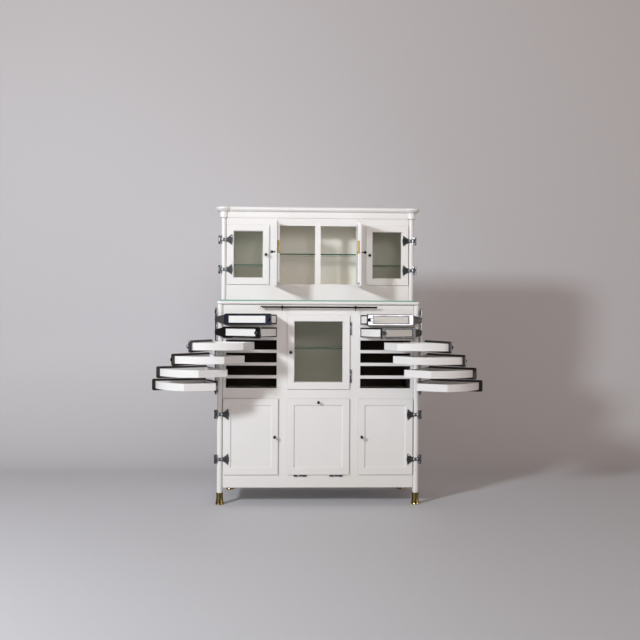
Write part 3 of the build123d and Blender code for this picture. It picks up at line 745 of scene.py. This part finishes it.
def begin(kind, name, **settings):
    """Add a primitive on its own and name it."""
    clear_selection()
    getattr(bpy.ops.mesh, f"primitive_{kind}_add")(**settings)
    piece = bpy.context.object
    piece.name = piece.data.name = name
    return piece


def settle(piece, place=None):
    """Put a piece at a place and leave its object at the origin, unturned and unscaled."""
    take_up(piece)
    if place:
        piece.matrix_world = place
    bpy.ops.object.transform_apply(location=True, rotation=True, scale=True)
    return piece


def choose(piece, test, kind="FACE"):
    """Go into edit mode with only the faces or edges selected that pass a test.

    The test gets each one's middle, and a face's normal or an edge's direction.
    """
    bpy.ops.object.mode_set(mode="EDIT")
    bpy.ops.mesh.select_mode(type=kind)
    bpy.ops.mesh.select_all(action="DESELECT")
    bpy.ops.object.mode_set(mode="OBJECT")
    mesh = piece.data
    if kind == "FACE":
        for face in mesh.polygons:
            face.select = test(face.center, face.normal)
    else:
        for edge in mesh.edges:
            start, end = (mesh.vertices[number].co for number in edge.vertices)
            edge.select = test((start + end) / 2, (end - start).normalized())
    bpy.ops.object.mode_set(mode="EDIT")


def extrude(x, y, z):
    """Draw out what is selected in edit mode."""
    bpy.ops.mesh.extrude_region_move(TRANSFORM_OT_translate={"value": (x, y, z)})


def outward():
    """Turn every face outwards and leave edit mode."""
    bpy.ops.mesh.select_all(action="SELECT")
    bpy.ops.mesh.normals_make_consistent(inside=False)
    bpy.ops.object.mode_set(mode="OBJECT")


def box(name, size):
    """A box round the origin, its size in millimetres."""
    piece = begin("cube", name, size=1)
    piece.scale = [length * MM for length in size]
    return settle(piece)


def raise_panel(piece, border, height):
    """Raise the top of a piece inside a border, both in millimetres."""
    choose(piece, lambda middle, normal: normal.z > ALIGNED)
    bpy.ops.mesh.inset(thickness=border * MM, depth=height * MM)
    outward()


def turned(name, rings, sides=24):
    """A piece turned on the Z axis, drawn up ring by ring: radii and heights in millimetres."""
    (radius, height), *others = rings
    foot = (0, 0, height * MM)
    piece = begin(
        "circle", name, vertices=sides, radius=radius * MM, fill_type="NGON", location=foot
    )
    settle(piece)
    bpy.ops.object.mode_set(mode="EDIT")
    bpy.ops.mesh.select_mode(type="FACE")
    bpy.ops.mesh.select_all(action="SELECT")
    for next_radius, next_height in others:
        extrude(0, 0, (next_height - height) * MM)
        share = next_radius / radius
        bpy.ops.transform.resize(
            value=(share, share, 1), center_override=(0, 0, next_height * MM)
        )
        radius, height = next_radius, next_height
    outward()
    return piece


def scaled(rings, size):
    """Rings given in shares, at a size in millimetres."""
    return [(radius * size, height * size) for radius, height in rings]


def slotted_screw(name, size):
    """A round-headed screw with a slot, its head along Z and its radius in metres."""
    radius = size / MM
    head = turned(name, [(radius, -0.2), *scaled(SCREW_RINGS, radius)], sides=16)
    half, depth = radius * 0.14, radius * 0.3
    for side in (-half, half):
        bpy.ops.object.mode_set(mode="EDIT")
        bpy.ops.mesh.select_all(action="SELECT")
        bpy.ops.mesh.bisect(plane_co=(0, side * MM, 0), plane_no=(0, 1, 0))
        bpy.ops.object.mode_set(mode="OBJECT")
    choose(head, lambda middle, normal: abs(middle.y) < half * MM and normal.z > 0.2)
    extrude(0, 0, -depth * MM)
    outward()
    return head


def join(name, parts):
    """Join pieces into one."""
    take_up(parts[0])
    for part in parts:
        part.select_set(True)
    if len(parts) > 1:
        bpy.ops.object.join()
    joined = bpy.context.object
    joined.name = joined.data.name = name
    return joined


def copies(name, pattern, places):
    """Copies of a pattern at each place, joined into one piece."""
    made = []
    for place in places:
        take_up(pattern)
        bpy.ops.object.duplicate()
        made.append(settle(bpy.context.object, place))
    return join(name, made)


def discard(*patterns):
    """Take patterns out of the scene once their copies are made."""
    for pattern in patterns:
        bpy.data.objects.remove(pattern)


def stand(x, y, z, axis="Z", angle=0.0):
    """Matrix that turns a piece about an axis and moves it to a place."""
    return Matrix.Translation((x, y, z)) @ Matrix.Rotation(angle, 4, axis)


def attach(piece, body, name):
    """Shade a piece, give it its finish and hang it on its body."""
    take_up(piece)
    bpy.ops.object.shade_smooth_by_angle(angle=SMOOTH_ANGLE)
    piece.data.materials.clear()
    piece.data.materials.append(finish(name))
    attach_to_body(piece, body)


def reach(node, swing):
    """Limits of a CAD node: along a swung piece and out from it in millimetres, up in metres."""
    places = [vertex.co for vertex in frame["nodes"][node].data.vertices]
    points = [place - swing.pivot for place in places]
    along = [point.dot(swing.along) / MM for point in points]
    out = [point.dot(swing.out) / MM for point in points]
    heights = [place.z for place in places]
    return (min(along), max(along)), (min(out), max(out)), (min(heights), max(heights))


class CABINET_OT_hinge_screws(Operator):
    """Put three slotted screws, a domed boss and a half-round band on each butterfly hinge leaf"""

    bl_idname = "cabinet.hinge_screws"
    bl_label = "Hinge Screws"

    def execute(self, context):
        trim = context.scene.cabinet_trim
        screw = slotted_screw("screw_pattern", trim.hinge_screw)
        boss = turned("boss_pattern", BOSS_RINGS)
        band = turned("band_pattern", BAND_RINGS)
        fan_half = trim.fan_height / 2
        for door in OUTER_DOORS:
            swing = swings[door]
            _, (_, face), (bottom, top) = reach(f"{door}_hinges", swing)
            places, necks, arms = [], [], []
            for middle in (bottom + fan_half, top - fan_half):
                necks.append(swing.facing(NECK_ALONG, face, middle))
                arms.append(stand(*swing.point(ARM_ALONG, face - ARM_SUNK, middle)))
                for along, rise, turn in FAN_SCREWS:
                    spot = swing.facing(along, face, middle + rise * MM)
                    places.append(spot @ Matrix.Rotation(radians(turn), 4, "Z"))
            attach(copies(f"{door}_hinge_screws", screw, places), door, "nickel")
            bosses = [copies(f"{door}_bosses", boss, necks), copies(f"{door}_bands", band, arms)]
            # The bosses and bands get nickel brightened as painted glints
            attach(join(f"{door}_hinge_bosses", bosses), door, "bright_nickel")
        discard(screw, boss, band)
        return {"FINISHED"}


class CABINET_OT_lock_plates(Operator):
    """Let a brass lock plate with its bolt and screws into the free edge of each centre door"""

    bl_idname = "cabinet.lock_plates"
    bl_label = "Lock Plates"

    def execute(self, context):
        trim = context.scene.cabinet_trim
        width, height = trim.lock_width / MM, trim.lock_height / MM
        plate_thickness, bolt_thickness, back_margin = 1.0, 1.6, 0.6
        screw = slotted_screw("lock_screw_pattern", trim.lock_screw)
        screw_height, screw_rise = 0.36 * height * MM, plate_thickness / 2 * MM
        screw_places = [
            stand(0, screw_height, screw_rise, "Z", 0.5),
            stand(0, -screw_height, screw_rise, "Z", 2.1),
        ]
        for door in CENTRE_DOORS:
            plate = box(f"{door}_lock_plate", (width, height, plate_thickness))
            choose(plate, lambda middle, line: abs(line.z) > ALIGNED, "EDGE")
            bpy.ops.mesh.bevel(offset=width * 0.3 * MM, segments=5)
            bpy.ops.object.mode_set(mode="OBJECT")
            raise_panel(plate, border=0.5, height=0.25)
            bolt = box(f"{door}_bolt", (width * 0.52, height * 0.24, bolt_thickness))
            raise_panel(bolt, border=0.8, height=0.35)
            screws = copies(f"{door}_lock_screws", screw, screw_places)
            swing = swings[door]
            (_, lip), (back, _), _ = reach(door, swing)
            turn = Matrix((UP.cross(swing.along), UP, swing.along)).transposed().to_4x4()
            out = back + width / 2 + back_margin
            middle = swing.point(lip - trim.lip_step / MM, out, trim.lock_middle)
            whole = join(f"{door}_lock_plate", [plate, bolt, screws])
            settle(whole, Matrix.Translation(middle) @ turn)
            attach(whole, door, "satin_brass")
        discard(screw)
        return {"FINISHED"}


class CABINET_OT_glazing_beads(Operator):
    """Fit a rounded bead round the glass of each glazed door, in front and behind"""

    bl_idname = "cabinet.glazing_beads"
    bl_label = "Glazing Beads"

    def execute(self, context):
        trim = context.scene.cabinet_trim
        clearance, gap = 0.2, 0.05
        groove = trim.glass_groove / MM
        for door in GLAZED_DOORS:
            swing = swings[door]
            along, (back, face), heights = reach(f"{door}_pane", swing)
            width = along[1] - along[0] - 2 * groove - clearance
            height = (heights[1] - heights[0]) / MM - 2 * groove - clearance
            middle = swing.facing(sum(along) / 2, 0, sum(heights) / 2)
            rings = []
            for facing, depth in ((1, face + gap), (-1, back - gap)):
                ring = self.ring(f"{door}_bead", (width, height), trim, facing)
                rings.append(settle(ring, middle @ stand(0, 0, depth * MM)))
            bead = join(f"{door}_glazing_bead", rings)
            attach(bead, door, "door_enamel")
        return {"FINISHED"}

    def ring(self, name, size, trim, facing):
        """A mitred frame of bead, its inner edge rounded, standing out along Z or back from it."""
        piece = begin("plane", name, size=1)
        piece.scale = (size[0] * MM, size[1] * MM, 1)
        settle(piece)
        choose(piece, lambda middle, normal: True)
        bpy.ops.mesh.inset(thickness=trim.bead_width)
        bpy.ops.mesh.delete(type="FACE")
        bpy.ops.mesh.select_all(action="SELECT")
        depth = trim.bead_depth if facing > 0 else trim.bead_depth * 0.7
        extrude(0, 0, facing * depth)
        outward()
        inner = [length * MM / 2 - trim.bead_width + TOUCHING for length in size]

        def inner_edge(middle, line):
            inside = abs(middle.x) < inner[0] and abs(middle.y) < inner[1]
            return inside and abs(middle.z) > depth * 0.9 and abs(line.z) < 0.1

        choose(piece, inner_edge, "EDGE")
        bpy.ops.mesh.bevel(offset=trim.bead_width * 0.75, segments=4)
        outward()
        return piece


class CABINET_OT_hinge_barrels(Operator):
    """Sleeve the middle knuckle of each butt hinge with a nickel barrel"""

    bl_idname = "cabinet.hinge_barrels"
    bl_label = "Hinge Barrels"

    def execute(self, context):
        trim = context.scene.cabinet_trim
        inset = trim.butt_inset
        radius, half = trim.barrel_radius / MM, trim.barrel_length / MM / 2
        end, straight = radius * 0.94, half - 0.4
        rings = ((end, -half), (radius, -straight), (radius, straight), (end, half))
        barrel = turned("barrel_pattern", rings)
        places = {}
        for door in (*CENTRE_DOORS, "glazed_door"):
            pivot = swings[door].pivot
            low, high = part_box(door)
            heights = (low[2] + inset, high[2] - inset)
            places[door] = [stand(pivot.x, pivot.y, height) for height in heights]
        pivot = Vector(joints["drop_front_swing"]["pos_m"])
        low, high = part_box("drop_front")
        ends = (low[0] + inset, high[0] - inset)
        places["drop_front"] = [stand(x, pivot.y, pivot.z, "Y", pi / 2) for x in ends]
        for door, spots in places.items():
            barrels = copies(f"{door}_hinge_barrels", barrel, spots)
            attach(barrels, door, "chased_nickel")
        discard(barrel)
        return {"FINISHED"}


class CABINET_OT_rod_finials(Operator):
    """Close the ends of the two drawer pivot rods with turned acorn nuts"""

    bl_idname = "cabinet.rod_finials"
    bl_label = "Rod Finials"

    def execute(self, context):
        trim = context.scene.cabinet_trim
        finial = turned("finial_pattern", scaled(FINIAL_RINGS, trim.finial_radius / MM))
        places = []
        for drawer in ("left_drawer_1", "right_drawer_1"):
            pivot = swings[drawer].pivot
            places.append(stand(pivot.x, pivot.y, trim.rod_top))
            places.append(stand(pivot.x, pivot.y, trim.rod_bottom, "X", pi))
        attach(copies("rod_finials", finial, places), "cabinet", "nickel")
        discard(finial)
        return {"FINISHED"}


class CABINET_OT_rail_caps(Operator):
    """Cap the ends of the towel rail and hang a small drop under each bracket"""

    bl_idname = "cabinet.rail_caps"
    bl_label = "Rail Caps"

    def execute(self, context):
        trim = context.scene.cabinet_trim
        low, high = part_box("towel_rail")
        height = (low[2] + high[2]) / 2
        depth = low[1] + trim.rail_ring
        size = trim.rail_cap / MM
        cap = turned("rail_cap_pattern", scaled(CAP_RINGS, size))
        cap_length = CAP_RINGS[-1][1] * size * MM
        ends = [
            stand(low[0] + cap_length, depth, height, "Y", -pi / 2),
            stand(high[0] - cap_length, depth, height, "Y", pi / 2),
        ]
        caps = copies("rail_caps", cap, ends)
        drop = turned("rail_drop_pattern", DROP_RINGS)
        brackets = (CENTRE_X - trim.rail_bracket, CENTRE_X + trim.rail_bracket)
        under = height - trim.rail_ring
        drops = copies("rail_drops", drop, [stand(x, depth, under, "X", pi) for x in brackets])
        discard(cap, drop)
        attach(join("rail_caps", [caps, drops]), "cabinet", "nickel")
        return {"FINISHED"}


class CABINET_OT_back_screws(Operator):
    """Fix the two back panels with rows of slotted screws"""

    bl_idname = "cabinet.back_screws"
    bl_label = "Back Screws"

    def execute(self, context):
        trim = context.scene.cabinet_trim
        screw = slotted_screw("back_screw_pattern", trim.back_screw)
        let_in = 0.1 * MM
        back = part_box("carcass_panels")[1][1] - let_in
        facing = Matrix(((-1, 0, 0), (0, 0, 1), (0, 1, 0))).transposed().to_4x4()
        nearly_flush = Matrix.Diagonal((1, 1, 0.2, 1))
        half, step, slot_turn = 478, 239, 2.4
        base_rows, upper_rows = (102, 560, 1008), (1066, 1480)
        places = []
        for rows in (base_rows, upper_rows):
            across = range(-half, half + 1, step)
            spots = [at(x, 0, z) for z in (rows[0], rows[-1]) for x in across]
            spots += [at(x, 0, z) for z in rows[1:-1] for x in (-half, half)]
            for number, spot in enumerate(spots):
                turn = Matrix.Rotation(number * slot_turn, 4, "Z")
                places.append(stand(spot.x, back, spot.z) @ facing @ nearly_flush @ turn)
        attach(copies("back_panel_screws", screw, places), "cabinet", "nickel")
        discard(screw)
        return {"FINISHED"}


class CABINET_OT_studio(Operator):
    """Build the floor, the backdrop, the soft lights and the camera"""

    bl_idname = "cabinet.studio"
    bl_label = "Studio"

    def execute(self, context):
        settings = context.scene.studio_settings
        self.sweep(settings)
        key = self.lamp(
            "key_light", settings.key,
            size=0.5, place=at(-3000, -3400, 2400), target=at(0, 100, 850),
        )
        key.data.color = settings.key_tint
        top = self.lamp(
            "top_light", settings.top,
            size=1.2, place=at(300, -2700, 1950), target=at(0, 200, 1400),
        )
        top.data.spread = radians(34)
        top.visible_glossy = False
        self.lamp(
            "fill_light", settings.fill,
            size=1.0, place=at(3770, -2170, 1150), target=at(350, -90, 950),
        )
        self.sky(context, settings)
        self.camera(context, settings)
        context.scene.view_settings.view_transform = "Standard"
        return {"FINISHED"}

    def sweep(self, settings):
        """A floor that curves up into a backdrop, which is seen through from behind."""
        width, depth, height, curve = 14, 8, 5, 0.9
        floor = begin("plane", "studio_sweep", size=1, location=at(0, -2200, 0))
        floor.scale = (width, depth, 1)
        settle(floor)
        far = max(vertex.co.y for vertex in floor.data.vertices)

        def far_edge(middle, line):
            return abs(middle.y - far) < TOUCHING and abs(middle.z) < TOUCHING

        choose(floor, far_edge, "EDGE")
        extrude(0, 0, height)
        bpy.ops.object.mode_set(mode="OBJECT")
        choose(floor, far_edge, "EDGE")
        bpy.ops.mesh.bevel(offset=curve, segments=16)
        bpy.ops.object.mode_set(mode="OBJECT")
        bpy.ops.object.shade_smooth()
        paper = Finish("studio_paper")
        tone = paper.cloud(scale=0.7, detail=2)
        colour = paper.mix(tone * 0.2, solid(settings.floor), shade(settings.floor, 0.94))
        mirrored = paper.node("LightPath", output="Is Glossy Ray")
        colour = paper.mix(mirrored, colour, shade(settings.floor, 0.18))
        alpha = 1 - paper.node("NewGeometry", output="Backfacing")
        floor.data.materials.append(paper.surface(Base_Color=colour, Roughness=0.6, Alpha=alpha))

    def lamp(self, name, power, size, place, target):
        """A square soft light that faces a target."""
        clear_selection()
        bpy.ops.object.light_add(type="AREA", location=place)
        lamp = bpy.context.object
        lamp.name = name
        lamp.data.energy = power
        lamp.data.size = size
        lamp.rotation_euler = (target - place).to_track_quat("-Z", "Y").to_euler()
        return lamp

    def sky(self, context, settings):
        """Warm light from all round, most of it from in front.

        Reflections see a dark room instead, lighter at the right and above, with a blue window.
        """
        world = bpy.data.worlds.new("studio_sky")
        context.scene.world = world
        sky = Shading(world)
        direction = sky.node("TexCoord", output="Generated")
        to_right, backward, upward = (sky.part(direction, letter) for letter in "XYZ")
        to_window = sky.dot(direction, (-0.65, -0.75, 0.05))

        def background(tint, strength):
            return sky.node("Background", {"Color": solid(tint), "Strength": strength})

        all_round = backward.line(-0.55, -0.95, start=settings.sky, end=settings.frontal)
        wall = to_right.line(0.4, 0.95, start=0.035, end=0.7)
        ceiling = upward.line(0.5, 0.9, start=0.0, end=0.1)
        window = to_window.line(0.93, 0.985, start=0.0, end=0.34)
        walls = background(settings.room_tint, wall + ceiling)
        room = sky.node("AddShader", {0: walls, 1: background(settings.window_tint, window)})
        mirrored = sky.node("LightPath", output="Is Glossy Ray")
        light = background(settings.sky_tint, all_round)
        seen = sky.node("MixShader", {0: mirrored, 1: light, 2: room})
        sky.node("OutputWorld", {"Surface": seen})

    def camera(self, context, settings):
        """The photograph's viewpoint: nearly square on, at worktop height."""
        clear_selection()
        bpy.ops.object.camera_add(location=at(-143, -4215, 947))
        camera = bpy.context.object
        camera.name = "photo_camera"
        turn = Euler((0, 0, settings.yaw)).to_matrix() @ Euler((pi / 2, 0, 0)).to_matrix()
        camera.rotation_euler = (turn @ Euler((0, 0, settings.roll)).to_matrix()).to_euler()
        camera.data.lens = settings.lens
        camera.data.sensor_width = 36
        camera.data.clip_end = 50
        context.scene.camera = camera


class CABINET_PT_sidebar(Panel):
    """Lists the cabinet's operators and settings"""

    bl_idname = "CABINET_PT_sidebar"
    bl_label = "Dental Cabinet"
    bl_space_type = "VIEW_3D"
    bl_region_type = "UI"
    bl_category = "Cabinet"

    def draw(self, context):
        for operator in operators:
            self.layout.operator(operator.bl_idname)
        scene = context.scene
        for group in (scene.cabinet_finishes, scene.cabinet_trim, scene.studio_settings):
            for name in group.bl_rna.properties.keys():
                if name not in ("rna_type", "name"):
                    self.layout.prop(group, name)


groups = (CabinetFinishes, CabinetTrim, StudioSettings)
operators = (
    CABINET_OT_finishes,
    CABINET_OT_hinge_screws,
    CABINET_OT_lock_plates,
    CABINET_OT_glazing_beads,
    CABINET_OT_hinge_barrels,
    CABINET_OT_rod_finials,
    CABINET_OT_rail_caps,
    CABINET_OT_back_screws,
    CABINET_OT_studio,
)


def register():
    """Register the classes and hang their settings on the scene."""
    for part in (*groups, *operators, CABINET_PT_sidebar):
        bpy.utils.register_class(part)
    bpy.types.Scene.cabinet_finishes = PointerProperty(type=CabinetFinishes)
    bpy.types.Scene.cabinet_trim = PointerProperty(type=CabinetTrim)
    bpy.types.Scene.studio_settings = PointerProperty(type=StudioSettings)


def unregister():
    """Take the settings off the scene and unregister the classes."""
    del bpy.types.Scene.studio_settings
    del bpy.types.Scene.cabinet_trim
    del bpy.types.Scene.cabinet_finishes
    for part in reversed((*groups, *operators, CABINET_PT_sidebar)):
        bpy.utils.unregister_class(part)


def main():
    """Dress the cabinet and build its studio."""
    register()
    bpy.ops.cabinet.finishes()
    bpy.ops.cabinet.hinge_screws()
    bpy.ops.cabinet.lock_plates()
    bpy.ops.cabinet.glazing_beads()
    bpy.ops.cabinet.hinge_barrels()
    bpy.ops.cabinet.rod_finials()
    bpy.ops.cabinet.rail_caps()
    bpy.ops.cabinet.back_screws()
    bpy.ops.cabinet.studio()


if __name__ == "__main__":
    main()
